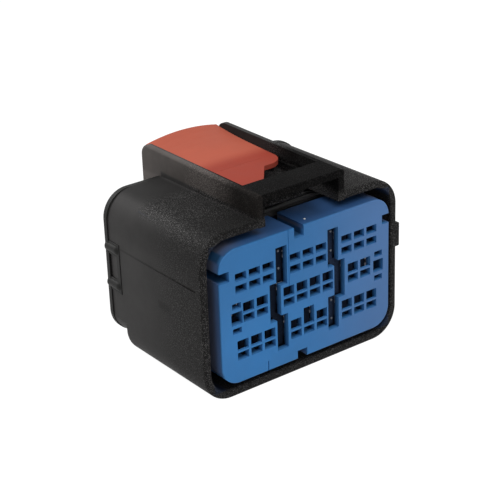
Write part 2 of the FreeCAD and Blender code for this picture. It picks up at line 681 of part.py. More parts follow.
def make_perimeter_seal():
    """The ring seal round the core, with rounded ribs outside."""
    inner = holder_outline(NECK_INSET, SEAL_FRONT_Y - EPS, SEAL_REAR_Y + EPS)
    ring = holder_outline(NECK_INSET - SEAL_BODY, SEAL_FRONT_Y, SEAL_REAR_Y)
    rib_pitch = SEAL_LENGTH / SEAL_RIB_COUNT
    rib_width = rib_pitch * 0.55
    ribs = []
    for index in range(SEAL_RIB_COUNT):
        middle = SEAL_FRONT_Y + (index + 0.5) * rib_pitch
        rib = holder_outline(
            NECK_INSET - SEAL_BODY - SEAL_RIB_HEIGHT, middle - rib_width / 2, middle + rib_width / 2
        )
        crest = edges_at(rib, lambda point: abs(abs(point.y - middle) - rib_width / 2) < 0.01)
        ribs.append(rib.makeFillet(rib_width * 0.4, crest))
    return fuse_all(ring, ribs).cut(inner)


def wire_holes(radius, power_radius, y0, y1):
    """One round bar on the axis of every contact."""
    bars = []
    for _, x, top, _ in contact_places():
        bars.append(cylinder_y(radius, x, contact_floor(top) + CONTACT_HEIGHT / 2, y0, y1))
    for x in (POWER_LEFT_X, POWER_RIGHT_X):
        bars.append(cylinder_y(power_radius, x, POWER_Z, y0, y1))
    return bars


def make_wire_seal():
    """The soft mat that seals every wire at the back."""
    edge = WIRE_SEAL_EDGE_RIB
    mat = rounded_prism(
        -SEAL_POCKET_HALF_WIDTH + edge, SEAL_POCKET_HALF_WIDTH - edge, POCKET_FLOOR_Y, WIRE_SEAL_REAR_Y,
        SEAL_POCKET_BOTTOM + edge, SEAL_POCKET_TOP - edge, SEAL_POCKET_CORNER - edge
    )
    third = WIRE_SEAL_THICKNESS / 5
    ribs = []
    for start in (third, 3 * third):
        ribs.append(rounded_prism(
            -SEAL_POCKET_HALF_WIDTH, SEAL_POCKET_HALF_WIDTH,
            POCKET_FLOOR_Y + start, POCKET_FLOOR_Y + start + third,
            SEAL_POCKET_BOTTOM, SEAL_POCKET_TOP, SEAL_POCKET_CORNER
        ))
    mat = fuse_all(mat, ribs)
    holes = wire_holes(WIRE_HOLE / 2, POWER_WIRE_HOLE / 2, POCKET_FLOOR_Y - EPS, WIRE_SEAL_REAR_Y + EPS)
    return cut_all(mat, holes)


def loop_rib(side, z):
    """The half-round rib along one leg of a loop, with a domed front."""
    inner = REAR_HALF_WIDTH + LOOP_PROUD - LOOP_THICKNESS / 2
    x = side * (REAR_HALF_WIDTH + LOOP_RIB_PROUD - LOOP_RIB_RADIUS)
    front = SHELL_DEPTH - LOOP_REACH + LOOP_RIB_RADIUS
    rear = SHELL_DEPTH + COVER_FLANGE / 2
    bar = cylinder_y(LOOP_RIB_RADIUS, x, z, front, rear)
    rib = bar.fuse(Part.makeSphere(LOOP_RIB_RADIUS, Vector(x, front, z)))
    x0, x1 = sorted((side * inner, side * (HALF_WIDTH + 2)))
    return rib.common(box(x0, x1, front - 2, rear, z - 2, z + 2))


def cover_loop(side):
    """The loop that snaps over the wedge on one side."""
    outer = REAR_HALF_WIDTH + LOOP_PROUD
    x0, x1 = sorted((side * (outer - LOOP_THICKNESS), side * outer))
    strap = box(x0, x1, SHELL_DEPTH - LOOP_REACH, SHELL_DEPTH + COVER_FLANGE / 2, LOOP_BOTTOM, LOOP_TOP)
    window = box(x0 - EPS, x1 + EPS, SHELL_DEPTH - LOOP_REACH + LOOP_BAR, SHELL_DEPTH,
                 LOOP_BOTTOM + LOOP_LEG, LOOP_TOP - LOOP_LEG)
    strap = strap.cut(window)
    rim = edges_at(strap, lambda point: abs(abs(point.x) - outer) < 0.01)
    strap = strap.makeFillet(LOOP_ROUND, rim)
    ribs = [loop_rib(side, z) for z in (LOOP_BOTTOM + LOOP_LEG / 2, LOOP_TOP - LOOP_LEG / 2)]
    return fuse_all(strap, ribs)


def make_rear_cover():
    """The cover behind the wire seal, with a hole for every wire and a loop on each side."""
    proud = REAR_HALF_WIDTH + COVER_PROUD
    flange = rounded_prism(-proud, proud, SHELL_DEPTH, COVER_REAR_Y, STEP_HEIGHT, REAR_TOP, COVER_CORNER)
    back = edges_at(flange, lambda point: abs(point.y - COVER_REAR_Y) < 0.01)
    flange = flange.makeFillet(COVER_FLANGE / 2, back)
    clear = COVER_PLUG_CLEARANCE
    plug = rounded_prism(
        -SEAL_POCKET_HALF_WIDTH + clear, SEAL_POCKET_HALF_WIDTH - clear,
        WIRE_SEAL_REAR_Y, SHELL_DEPTH + EPS,
        SEAL_POCKET_BOTTOM + clear, SEAL_POCKET_TOP - clear, SEAL_POCKET_CORNER - clear
    )
    cover = fuse_all(flange, [plug, cover_loop(-1), cover_loop(1)])
    notch_half = HOOD_HALF_WIDTH + COVER_HOOD_CLEARANCE
    notch = box(-notch_half, notch_half, SHELL_DEPTH - EPS, COVER_REAR_Y + EPS,
                CHEEK_BOTTOM - COVER_HOOD_CLEARANCE, SHELL_HEIGHT + EPS)
    holes = wire_holes(COVER_WIRE_HOLE / 2, COVER_POWER_WIRE_HOLE / 2,
                       WIRE_SEAL_REAR_Y - EPS, COVER_REAR_Y + EPS)
    return cut_all(cover, [notch] + holes)


def slider_plate():
    """The flat plate of the slider, longer on the left and with a rounded corner on the right."""
    half = SLIDER_HALF_WIDTH
    low = SLIDER_BOTTOM
    points = [
        Vector(-half, SLIDER_FRONT_Y, low),
        Vector(SLIDER_PRONG_X, SLIDER_FRONT_Y, low),
        Vector(SLIDER_SHORT_X, SLIDER_SHORT_FRONT_Y, low),
        Vector(half, SLIDER_SHORT_FRONT_Y, low),
        Vector(half, SLIDER_REAR_Y, low),
        Vector(-half, SLIDER_REAR_Y, low),
    ]
    plate = Part.Face(Part.makePolygon(points + points[:1])).extrude(Vector(0, 0, SLIDER_THICKNESS))
    corner = edges_at(
        plate, lambda point: point.x > half - 0.01 and abs(point.y - SLIDER_SHORT_FRONT_Y) < 0.01
    )
    return plate.makeFillet(SLIDER_CORNER, corner)


def hump_section(y, edge, crown):
    """One cross-section of the thumb hump: level at the edges and crowned in the middle."""
    half = SLIDER_HALF_WIDTH
    low = SLIDER_TOP - SLIDER_THICKNESS / 2
    left_low = Vector(-half, y, low)
    left_high = Vector(-half, y, edge)
    right_high = Vector(half, y, edge)
    right_low = Vector(half, y, low)
    return Part.Wire([
        Part.LineSegment(right_low, left_low).toShape(),
        Part.LineSegment(left_low, left_high).toShape(),
        Part.Arc(left_high, Vector(0, y, edge + crown), right_high).toShape(),
        Part.LineSegment(right_high, right_low).toShape(),
    ])


def slider_hump():
    """The crowned top of the slider, which swells smoothly into a raised lip for the thumb."""
    sections = []
    for index in range(HUMP_SECTIONS):
        share = index / (HUMP_SECTIONS - 1)
        y = HUMP_FRONT_Y + share * (SLIDER_REAR_Y - HUMP_FRONT_Y)
        edge = SLIDER_TOP + HUMP_EDGE_RISE * share + LIP_RISE * share ** 4
        sections.append(hump_section(y, edge, 0.02 + (HUMP_CROWN - 0.02) * share))
    return Part.makeLoft(sections, True, True)


def make_lock_slider():
    """The slider over the latch arm, with side tongues and a crowned thumb hump at the back."""
    reach = CHANNEL_HALF_WIDTH + SLIDER_TONGUE - SLIDER_SIDE_CLEARANCE
    tongues = box(-reach, reach, SLIDER_SHORT_FRONT_Y + SLIDER_CORNER + EPS, HOOD_LENGTH - HOOD_REAR_ROUND,
                  SLIDER_BOTTOM, SLIDER_BOTTOM + SLIDER_TONGUE_THICKNESS)
    return fuse_all(slider_plate(), [slider_hump(), tongues])


def make_contact(x, floor, width, height, bore, socket_width, socket_height):
    """One socket contact: box, neck, wire crimp and strain grip."""
    y = CONTACT_FRONT_Y
    middle = floor + height / 2
    socket_box = box(x - width / 2, x + width / 2, y, y + CONTACT_BOX_LENGTH, floor, floor + height)
    socket = box(x - socket_width / 2, x + socket_width / 2, y - EPS, y + CONTACT_BOX_LENGTH - 1,
                 middle - socket_height / 2, middle + socket_height / 2)
    y += CONTACT_BOX_LENGTH
    neck = box(x - CONTACT_NECK_WIDTH / 2, x + CONTACT_NECK_WIDTH / 2, y - EPS,
               y + CONTACT_NECK_LENGTH + EPS, floor, middle)
    y += CONTACT_NECK_LENGTH
    wall = (height - bore) / 4
    crimp = cylinder_y(bore / 2 + wall, x, middle, y, y + CONTACT_CRIMP_LENGTH)
    y += CONTACT_CRIMP_LENGTH
    grip = cylinder_y(height / 2, x, middle, y, y + CONTACT_GRIP_LENGTH)
    rear = y + CONTACT_GRIP_LENGTH
    bore_bar = cylinder_y(bore / 2, x, middle, rear - CONTACT_GRIP_LENGTH - CONTACT_CRIMP_LENGTH, rear + EPS)
    return cut_all(fuse_all(socket_box, [neck, crimp, grip]), [socket, bore_bar])


def make_contacts():
    """Every contact by its node name."""
    contacts = {}
    for name, x, top, _ in contact_places():
        contacts[name] = make_contact(x, contact_floor(top), CONTACT_WIDTH, CONTACT_HEIGHT, CONTACT_BORE,
                                      CONTACT_SOCKET_WIDTH, CONTACT_SOCKET_HEIGHT)
    for name, x in (("power_contact_left", POWER_LEFT_X), ("power_contact_right", POWER_RIGHT_X)):
        contacts[name] = make_contact(x, power_floor(), POWER_CONTACT_WIDTH, POWER_CONTACT_HEIGHT,
                                      POWER_CONTACT_BORE, POWER_SOCKET_WIDTH, POWER_SOCKET_HEIGHT)
    return contacts


def export_all():
    """Moves the origin to the middle of the underside and writes one file for each node."""
    os.makedirs("parts", exist_ok=True)
    pieces = {
        "housing": make_housing(),
        "front_holder": make_front_holder(),
        "perimeter_seal": make_perimeter_seal(),
        "wire_seal": make_wire_seal(),
        "rear_cover": make_rear_cover(),
        "lock_slider": make_lock_slider(),
    }
    pieces.update(make_contacts())
    shift = Vector(0, -(RIM_ROUND + UNDERSIDE_LENGTH) / 2, BOTTOM_EXTRA)
    for name, shape in pieces.items():
        shape.translate(shift)
        shape.exportStep(f"parts/{name}.step")
        print(name, shape.isValid(), len(shape.Solids), round(shape.Volume, 2))
    print("origin lies behind the rim by", -shift.y)


export_all()
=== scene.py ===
import math

import bmesh
import bpy
from bpy.props import FloatProperty, FloatVectorProperty, PointerProperty
from mathutils import Matrix, Vector


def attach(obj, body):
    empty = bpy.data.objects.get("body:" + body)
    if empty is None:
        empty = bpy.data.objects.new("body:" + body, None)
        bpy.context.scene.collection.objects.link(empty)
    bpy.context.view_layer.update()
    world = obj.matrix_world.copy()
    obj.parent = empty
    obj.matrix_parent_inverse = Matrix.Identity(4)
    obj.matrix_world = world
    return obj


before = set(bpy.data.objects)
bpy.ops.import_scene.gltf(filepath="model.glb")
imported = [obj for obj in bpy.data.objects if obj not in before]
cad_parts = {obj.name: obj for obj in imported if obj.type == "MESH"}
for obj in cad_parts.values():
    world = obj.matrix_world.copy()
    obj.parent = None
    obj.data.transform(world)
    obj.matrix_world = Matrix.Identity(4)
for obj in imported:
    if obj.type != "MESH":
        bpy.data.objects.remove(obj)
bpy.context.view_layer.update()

bl_info = {
    "name": "Sealed loom plug",
    "version": (1, 0, 0),
    "blender": (4, 5, 0),
    "location": "3D View > Sidebar > Loom plug",
    "description": "Finishes, small details and stage of a sealed plug with a latch hood",
    "category": "Object",
}

MM = 0.001
SOCKETS = [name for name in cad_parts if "contact" in name]
PLASTIC_IOR = 1.45
# how far the roughness of a moulding strays to either side
GLOSS_SPREAD = 0.05
# the painted light level at which the shell's colour is at its lightest
FULL_TONE = 8.0
SHELL_GRAIN_DEPTH = 0.00005
COVER_GRAIN_DEPTH = 0.00003
FINE_GRAIN_DEPTH = 0.00001
GLOSSY_GRAIN_DEPTH = 0.000001
# share of its radius that a bead stands up
PIP_RISE = 0.7
SPECK_RISE = 0.5
# half the width of the floor
FLOOR_REACH = 3.0
# share of the floor's colour that a lamp still lights where the floor glows
FLOOR_LIT = 0.15


class PlugColours(bpy.types.PropertyGroup):
    """Base colours of the plug's pieces."""

    shell: FloatVectorProperty(
        name="Shell", description="Black of the moulded shell and hood", subtype="COLOR",
        default=(0.0100, 0.0097, 0.0096), min=0.0, max=1.0,
    )
    cover: FloatVectorProperty(
        name="Rear cover", description="Deeper black of the rear cover and its loops", subtype="COLOR",
        default=(0.011, 0.0108, 0.0102), min=0.0, max=1.0,
    )
    holder: FloatVectorProperty(
        name="Holder", description="Blue of the front holder's face", subtype="COLOR",
        default=(0.034, 0.180, 0.445), min=0.0, max=1.0,
    )
    # painted highlight: paler blue towards the right of the face
    holder_right_highlight: FloatVectorProperty(
        name="Holder, right", description="Paler blue towards the right of the face", subtype="COLOR",
        default=(0.078, 0.185, 0.410), min=0.0, max=1.0,
    )
    # painted shade: darker blue of the skirt's top under the hood
    holder_top_shade: FloatVectorProperty(
        name="Holder, top", description="Deeper blue of the skirt's top", subtype="COLOR",
        default=(0.044, 0.125, 0.320), min=0.0, max=1.0,
    )
    # painted shade: darker, greyer blue of the skirt's sides in the gap round the holder
    holder_side_shade: FloatVectorProperty(
        name="Holder, sides", description="Dusty blue of the skirt's sides and the window walls",
        subtype="COLOR", default=(0.075, 0.150, 0.330), min=0.0, max=1.0,
    )
    holder_wall: FloatVectorProperty(
        name="Holder, windows", description="Blue of the window walls", subtype="COLOR",
        default=(0.060, 0.230, 0.540), min=0.0, max=1.0,
    )
    # painted shade deep in the gap round the holder
    holder_gap_shade: FloatVectorProperty(
        name="Holder, depth", description="Near-black blue deep in the gap round the holder",
        subtype="COLOR", default=(0.085, 0.096, 0.145), min=0.0, max=1.0,
    )
    slider: FloatVectorProperty(
        name="Slider", description="Coral red of the lock slider's hump", subtype="COLOR",
        default=(0.495, 0.119, 0.075), min=0.0, max=1.0,
    )
    # painted shade: the slider's flat front is darker than its hump
    slider_plate_shade: FloatVectorProperty(
        name="Slider plate", description="Deeper red of the slider's flat front", subtype="COLOR",
        default=(0.36, 0.061, 0.040), min=0.0, max=1.0,
    )
    silicone: FloatVectorProperty(
        name="Silicone", description="Dark grey of the seals", subtype="COLOR",
        default=(0.022, 0.022, 0.023), min=0.0, max=1.0,
    )
    tin: FloatVectorProperty(
        name="Tin", description="Dull grey of the plated contacts", subtype="COLOR",
        default=(0.30, 0.31, 0.35), min=0.0, max=1.0,
    )
    pip: FloatVectorProperty(
        name="Pips", description="Grey of the small glossy pips", subtype="COLOR",
        default=(0.10, 0.11, 0.13), min=0.0, max=1.0,
    )
    # painted glint: white of the speck on the holder
    painted_glint: FloatVectorProperty(
        name="Dust", description="White of a speck of dust", subtype="COLOR",
        default=(0.75, 0.75, 0.72), min=0.0, max=1.0,
    )
    floor: FloatVectorProperty(
        name="Floor", description="White of the floor", subtype="COLOR",
        default=(0.9, 0.9, 0.9), min=0.0, max=1.0,
    )


class PlugSizes(bpy.types.PropertyGroup):
    """Sizes of the surface detail."""

    grain: FloatProperty(
        name="Grain", description="Size of one grain of the moulded texture", unit="LENGTH",
        default=0.0002, min=0.00002, max=0.002, precision=5,
    )
    pip: FloatProperty(
        name="Pip radius", description="Radius of the shiny pips on the ribs in the slots",
        unit="LENGTH", default=0.00032, min=0.0001, max=0.001, precision=5,
    )
    # the speck on the holder is a painted glint
    speck: FloatProperty(
        name="Speck radius", description="Radius of the speck of dust on the holder", unit="LENGTH",
        default=0.00028, min=0.00005, max=0.001, precision=5,
    )


class PlugStage(bpy.types.PropertyGroup):
    """Camera and lamps."""

    lens: FloatProperty(
        name="Lens", description="Focal length on a 36 mm sensor", unit="CAMERA",
        default=110.41, min=20.0, max=300.0,
    )
    camera_place: FloatVectorProperty(
        name="Camera", description="Where the camera stands", subtype="TRANSLATION",
        default=(-0.1885, -0.24715, 0.16515), precision=5,
    )
    yaw: FloatProperty(
        name="Yaw", description="Turn of the camera to its right, from +Y", subtype="ANGLE",
        default=math.radians(36.936),
    )
    pitch: FloatProperty(
        name="Pitch", description="How far the camera looks down", subtype="ANGLE",
        default=math.radians(24.496),
    )
    roll: FloatProperty(
        name="Roll", description="Roll of the camera", subtype="ANGLE", default=math.radians(-1.987),
    )
    sky: FloatProperty(
        name="Sky", description="Strength of the even light from all round", default=0.05, min=0.0, max=2.0,
    )
    floor_glow: FloatProperty(
        name="Floor glow", description="How white the floor looks in its shadow", default=0.985,
        min=0.0, max=1.0,
    )


def new_material(name):
    """An empty node material with its output and a principled shader."""
    material = bpy.data.materials.new(name)
    material.use_nodes = True
    tree = material.node_tree
    tree.nodes.clear()
    out = tree.nodes.new("ShaderNodeOutputMaterial")
    shader = tree.nodes.new("ShaderNodeBsdfPrincipled")
    tree.links.new(shader.outputs["BSDF"], out.inputs["Surface"])
    return material, tree, shader


def object_place(tree):
    """The place on the object, in metres from its origin."""
    return tree.nodes.new("ShaderNodeTexCoord").outputs["Object"]


def split(tree, vector):
    """The three parts of a vector."""
    node = tree.nodes.new("ShaderNodeSeparateXYZ")
    tree.links.new(vector, node.inputs[0])
    return node.outputs["X"], node.outputs["Y"], node.outputs["Z"]


def noise(tree, scale, detail=2.0, roughness=0.5, stretch=None):
    """Noise in the object's own coordinates, with the scale in grains per metre."""
    node = tree.nodes.new("ShaderNodeTexNoise")
    node.inputs["Scale"].default_value = scale
    node.inputs["Detail"].default_value = detail
    node.inputs["Roughness"].default_value = roughness
    source = object_place(tree)
    if stretch:
        mapping = tree.nodes.new("ShaderNodeMapping")
        mapping.inputs["Scale"].default_value = stretch
        tree.links.new(source, mapping.inputs["Vector"])
        source = mapping.outputs["Vector"]
    tree.links.new(source, node.inputs["Vector"])
    return node.outputs["Fac"]


def maths(tree, operation, first, second):
    """One operation on two values, each a socket or a number."""
    node = tree.nodes.new("ShaderNodeMath")
    node.operation = operation
    for value, socket in zip((first, second), node.inputs):
        if isinstance(value, (int, float)):
            socket.default_value = value
        else:
            tree.links.new(value, socket)
    return node.outputs[0]


def span(tree, source, low, high, start, end):
    """Maps a value smoothly from one span to another."""
    node = tree.nodes.new("ShaderNodeMapRange")
    node.interpolation_type = "SMOOTHSTEP"
    if low > high:
        low, high, start, end = high, low, end, start
    node.inputs["From Min"].default_value = low
    node.inputs["From Max"].default_value = high
    node.inputs["To Min"].default_value = start
    node.inputs["To Max"].default_value = end
    tree.links.new(source, node.inputs["Value"])
    return node.outputs["Result"]


def product(tree, *factors):
    """Several values multiplied."""
    total = factors[0]
    for factor in factors[1:]:
        total = maths(tree, "MULTIPLY", total, factor)
    return total


def blend(tree, mask, first, second):
    """The first value where a mask is 0 and the second where it is 1, each a socket or a number."""
    rest = maths(tree, "SUBTRACT", 1.0, mask)
    return maths(tree, "ADD", product(tree, rest, first), product(tree, mask, second))


def tint(tree, factor, dark, light):
    """Mixes two colours by a factor. Each is a colour or a colour's socket."""
    node = tree.nodes.new("ShaderNodeMix")
    node.data_type = "RGBA"
    sockets = [socket for socket in node.inputs if socket.type == "RGBA"]
    for value, socket in zip((dark, light), sockets):
        if hasattr(value, "links"):
            tree.links.new(value, socket)
        else:
            socket.default_value = (*value, 1.0)
    tree.links.new(factor, node.inputs[0])
    return [output for output in node.outputs if output.type == "RGBA"][0]


def scaled(colour, factor):
    """A colour made lighter or darker."""
    return tuple(channel * factor for channel in colour)


def weighted(colour, weights):
    """A colour with each of its channels made lighter or darker by its own weight."""
    return tuple(channel * weight for channel, weight in zip(colour, weights))


def bump(tree, height, strength, distance):
    """A height as a normal. The strength is a socket or a number."""
    node = tree.nodes.new("ShaderNodeBump")
    node.inputs["Distance"].default_value = distance
    if isinstance(strength, (int, float)):
        node.inputs["Strength"].default_value = strength
    else:
        tree.links.new(strength, node.inputs["Strength"])
    tree.links.new(height, node.inputs["Height"])
    return node.outputs["Normal"]


def rising(tree, source, start, end):
    """0 before one place along an axis and 1 past another, both in millimetres."""
    return span(tree, source, start * MM, end * MM, 0.0, 1.0)


def within(tree, source, low, high, edge):
    """1 between two places along an axis, in millimetres, and 0 outside them, with soft edges."""
    return product(tree, rising(tree, source, low - edge, low), rising(tree, source, high + edge, high))


def toned(tree, mask, factor):
    """1 where a mask is 0, and a factor where it is 1."""
    return span(tree, mask, 0.0, 1.0, 1.0, factor)


def mottled(tree, clouds, low, high):
    """Noise spread over a span of values."""
    return span(tree, clouds, 0.3, 0.7, low, high)


def shell_zones(tree, x, y, z):
    """Masks of the places on the shell that differ in painted light and shade and in grain."""
    above = rising(tree, z, 39.0, 39.8)
    cheek = rising(tree, y, 19.9, 20.4)
    top = rising(tree, z, 37.2, 38.6)
    # a darker patch on the left side
    side_darkening = product(tree, within(tree, y, -2, 0, 2.2), within(tree, z, 18.5, 18.7, 1.6))
    # painted shade along the groove line of the left side
    groove_shade = product(tree, within(tree, y, -12, 15, 0.5), within(tree, z, 26.4, 26.6, 0.3))
    return {
        "hood_side": product(
            tree, within(tree, x, -12.2, -10.6, 0.2), maths(tree, "MAXIMUM", above, cheek)
        ),
        "top_left": product(tree, top, rising(tree, x, -11, -13)),
        "top_right": product(tree, top, rising(tree, x, 11, 13)),
        "hood": product(tree, rising(tree, z, 38, 40.4), rising(tree, y, 12, -2)),
        "inside": product(
            tree,
            within(tree, x, -24.5, 24.5, 0.5),
            within(tree, z, 2.6, 36.3, 0.5),
            within(tree, y, -15.2, 10, 0.3),
        ),
        "side_darkening": product(tree, maths(tree, "MAXIMUM", side_darkening, groove_shade), rising(tree, x, -26, -26.5)),
        "rail": product(
            tree, within(tree, x, 8.6, 10.2, 0.1), rising(tree, z, 39.6, 40.4), rising(tree, y, -4, 2)
        ),
        "shoulder": product(tree, rising(tree, x, -24, -27), rising(tree, z, 27, 32)),
    }


def shell_painted_light(tree, x, y, zones, clouds):
    """The painted light and shade of the shell, place by place, before its painted glints."""
    # painted light: the shell is lighter towards the back, where the lamp stands
    painted_light_and_mottle = span(tree, y, -15.5 * MM, 18 * MM, 1.1, 2.7)
    # painted shade: darker on the front of the hood; the side's patch and groove line are darker too
    painted_light_and_mottle = product(tree, painted_light_and_mottle, toned(tree, zones["hood"], 0.2), toned(tree, zones["side_darkening"], 0.75))
    # painted light: the hood's left wall is much lighter towards the back
    painted_light_and_mottle = blend(tree, zones["hood_side"], painted_light_and_mottle, span(tree, y, -9 * MM, 4 * MM, 0.6, 5.6))
    # painted light and shade on the top: darker towards the front on the left, even on the right
    painted_light_and_mottle = blend(tree, zones["top_left"], painted_light_and_mottle, span(tree, y, -12 * MM, 4 * MM, 0.6, 1.15))
    painted_light_and_mottle = blend(tree, zones["top_right"], painted_light_and_mottle, 1.15)
    # painted shade: darker on the hood's right rail and on the upper left side
    painted_light_and_mottle = product(tree, painted_light_and_mottle, toned(tree, zones["rail"], 0.45), toned(tree, zones["shoulder"], 0.85))
    # painted shade: much darker inside the rim, most towards the left
    inner = product(tree, painted_light_and_mottle, span(tree, x, -10 * MM, 10 * MM, 0.27, 0.75))
    return product(tree, blend(tree, zones["inside"], painted_light_and_mottle, inner), mottled(tree, clouds, 0.88, 1.12))


def shell_grain_and_glints(tree, y, z, zones):
    """Grain and painted glint strength: full at the front and top, half on the sides, faint inside."""
    low = rising(tree, y, 5, -7)
    high = product(tree, rising(tree, z, 35, 38), rising(tree, y, 13, 5))
    side = product(tree, rising(tree, z, 37, 34), rising(tree, y, -14.8, -13.8))
    calm = maths(tree, "MAXIMUM", side, zones["hood_side"])
    full = maths(tree, "MAXIMUM", low, high)
    return product(tree, full, toned(tree, zones["inside"], 0.2), toned(tree, calm, 0.5))


def shell_plastic(name, colour, grain):
    """Black moulded plastic with fine spark-eroded grain.

    The grain is strong round the front and on top and fainter towards the smooth back half; its pale
    specks are painted glints. The tone is painted light and shade: lighter towards the back, and lighter
    on the hood's left wall and the top; darker on the front of the hood and inside the rim, where a
    painted bluish reflection of the holder shows.
    """
    material, tree, shader = new_material(name)
    x, y, z = split(tree, object_place(tree))
    clouds = noise(tree, 160.0, 3.0, 0.6)
    fine = noise(tree, 1.0 / grain, 2.0, 0.65)
    glint_specks = span(tree, fine, 0.52, 0.64, 0.0, 1.0)
    zones = shell_zones(tree, x, y, z)
    grain_and_glints = shell_grain_and_glints(tree, y, z, zones)
    # painted glints: pale specks of the grain lift the colour up to 4.2 times where the grain is strong
    glint_lift = blend(tree, grain_and_glints, 1.0, span(tree, glint_specks, 0.0, 1.0, 0.45, 4.2))
    painted_light_and_mottle = product(tree, shell_painted_light(tree, x, y, zones, clouds), glint_lift, 1.0 / FULL_TONE)
    # painted light: a warm cast on the lit left wall of the hood
    full = tint(tree, zones["hood_side"], scaled(colour, 16.0), weighted(colour, (17.0, 15.6, 14.8)))
    # painted reflection: a bluish cast from the holder on the black inside the rim
    full = tint(tree, zones["inside"], full, weighted(colour, (16.0, 25.0, 48.0)))
    tree.links.new(tint(tree, painted_light_and_mottle, (0.0, 0.0, 0.0), full), shader.inputs["Base Color"])
    gloss = blend(tree, zones["hood"], mottled(tree, clouds, 0.50, 0.62), 0.85)
    tree.links.new(gloss, shader.inputs["Roughness"])
    strength = span(tree, grain_and_glints, 0.0, 1.0, 0.12, 1.0)
    tree.links.new(bump(tree, fine, strength, SHELL_GRAIN_DEPTH), shader.inputs["Normal"])
    shader.inputs["IOR"].default_value = PLASTIC_IOR
    shader.inputs["Specular IOR Level"].default_value = 0.05
    return material


def finish(tree, shader, clouds, grain, roughness, depth, sheen):
    """Gives a moulding its uneven gloss and fine grain."""
    gloss = mottled(tree, clouds, roughness - GLOSS_SPREAD, roughness + GLOSS_SPREAD)
    tree.links.new(gloss, shader.inputs["Roughness"])
    speck = noise(tree, 1.0 / grain, 2.0, 0.6)
    tree.links.new(bump(tree, speck, 0.5, depth), shader.inputs["Normal"])
    shader.inputs["IOR"].default_value = PLASTIC_IOR
    shader.inputs["Specular IOR Level"].default_value = sheen


def moulded_plastic(name, colour, grain, roughness, depth, mottle=0.12, sheen=0.5):
    """Satin moulded plastic: fine grain, faint cloudiness and uneven gloss."""
    material, tree, shader = new_material(name)
    clouds = noise(tree, 90.0, 3.0, 0.55)
    shade = mottled(tree, clouds, 0.0, 1.0)
    base = tint(tree, shade, scaled(colour, 1 - mottle), scaled(colour, 1 + mottle))
    tree.links.new(base, shader.inputs["Base Color"])
    finish(tree, shader, clouds, grain, roughness, depth, sheen)
    return material


def finish_coloured(tree, shader, base, grain, roughness, sheen):
    """Gives a coloured moulding its cloudy tone, uneven gloss and fine grain."""
    clouds = noise(tree, 110.0, 3.0, 0.55)
    node = tree.nodes.new("ShaderNodeHueSaturation")
    tree.links.new(base, node.inputs["Color"])
    tree.links.new(mottled(tree, clouds, 0.96, 1.04), node.inputs["Value"])
    tree.links.new(node.outputs["Color"], shader.inputs["Base Color"])
    finish(tree, shader, clouds, grain, roughness, FINE_GRAIN_DEPTH, sheen)


def holder_plastic(name, colours, grain):
    """Blue moulded plastic with painted light and shade on it.

    The face is bright, darkens towards its top and has a painted highlight, paler to the right; painted
    shade fades the skirt and the window walls to black behind the face.
    """
    material, tree, shader = new_material(name)
    x, y, z = split(tree, object_place(tree))
    # painted shade: the face darkens towards its top
    upper = rising(tree, z, 12, 34)
    face = tint(tree, upper, scaled(colours.holder, 1.06), scaled(colours.holder, 0.88))
    # painted highlight: the face is paler towards the right
    face = tint(tree, rising(tree, x, -6, 24), face, tuple(colours.holder_right_highlight))
    # painted shade on the skirt: darker on its sides and top, near-black further back in the gap
    middle = product(tree, within(tree, x, -15, 17, 5), rising(tree, z, 34.6, 35.2))
    near = tint(tree, middle, tuple(colours.holder_side_shade), tuple(colours.holder_top_shade))
    dark = tint(tree, middle, tuple(colours.holder_gap_shade), scaled(colours.holder_top_shade, 0.6))
    skirt = tint(tree, rising(tree, y, -16.3, -13.4), near, dark)
    skirt = tint(tree, rising(tree, y, -16.0, -16.7), skirt, face)
    # painted shade: the window walls darken deeper in
    deep = scaled(colours.holder_wall, 0.3)
    wall = tint(tree, rising(tree, y, -16.5, -15.2), tuple(colours.holder_wall), deep)
    wall = tint(tree, rising(tree, y, -16.6, -16.72), wall, face)
    windows = product(tree, within(tree, x, -22.9, 22.9, 0.4), within(tree, z, 5, 34, 0.4))
    finish_coloured(tree, shader, tint(tree, windows, skirt, wall), grain, 0.5, 0.3)
    return material


def slider_plastic(name, colours, grain):
    """Coral moulded plastic, with painted shade that makes the flat plate deeper than the hump."""
    material, tree, shader = new_material(name)
    y = split(tree, object_place(tree))[1]
    # painted shade on the flat plate
    base = tint(tree, rising(tree, y, 8, 13), tuple(colours.slider_plate_shade), tuple(colours.slider))
    finish_coloured(tree, shader, base, grain, 0.55, 0.08)
    return material


def tin_plate(name, colour):
    """Dull tin plating with faint rolling marks."""
    material, tree, shader = new_material(name)
    marks = noise(tree, 900.0, 3.0, 0.6, (1.0, 0.15, 1.0))
    tree.links.new(tint(tree, marks, scaled(colour, 0.8), scaled(colour, 1.2)), shader.inputs["Base Color"])
    shader.inputs["Metallic"].default_value = 0.6
    tree.links.new(mottled(tree, marks, 0.38, 0.55), shader.inputs["Roughness"])
    tree.links.new(bump(tree, marks, 0.2, FINE_GRAIN_DEPTH), shader.inputs["Normal"])
    return material


def dress(node, material):
    """Puts a material on a node that came with the frame."""
    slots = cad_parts[node].data.materials
    slots.clear()
    slots.append(material)


class PLUG_OT_housing(bpy.types.Operator):
    """Finishes the shell, hood and latch arm"""

    bl_idname = "plug.housing"
    bl_label = "Housing"

    def execute(self, context):
        colours, sizes = context.scene.plug_colours, context.scene.plug_sizes
        dress("housing", shell_plastic("moulded_black", colours.shell, sizes.grain))
        return {"FINISHED"}


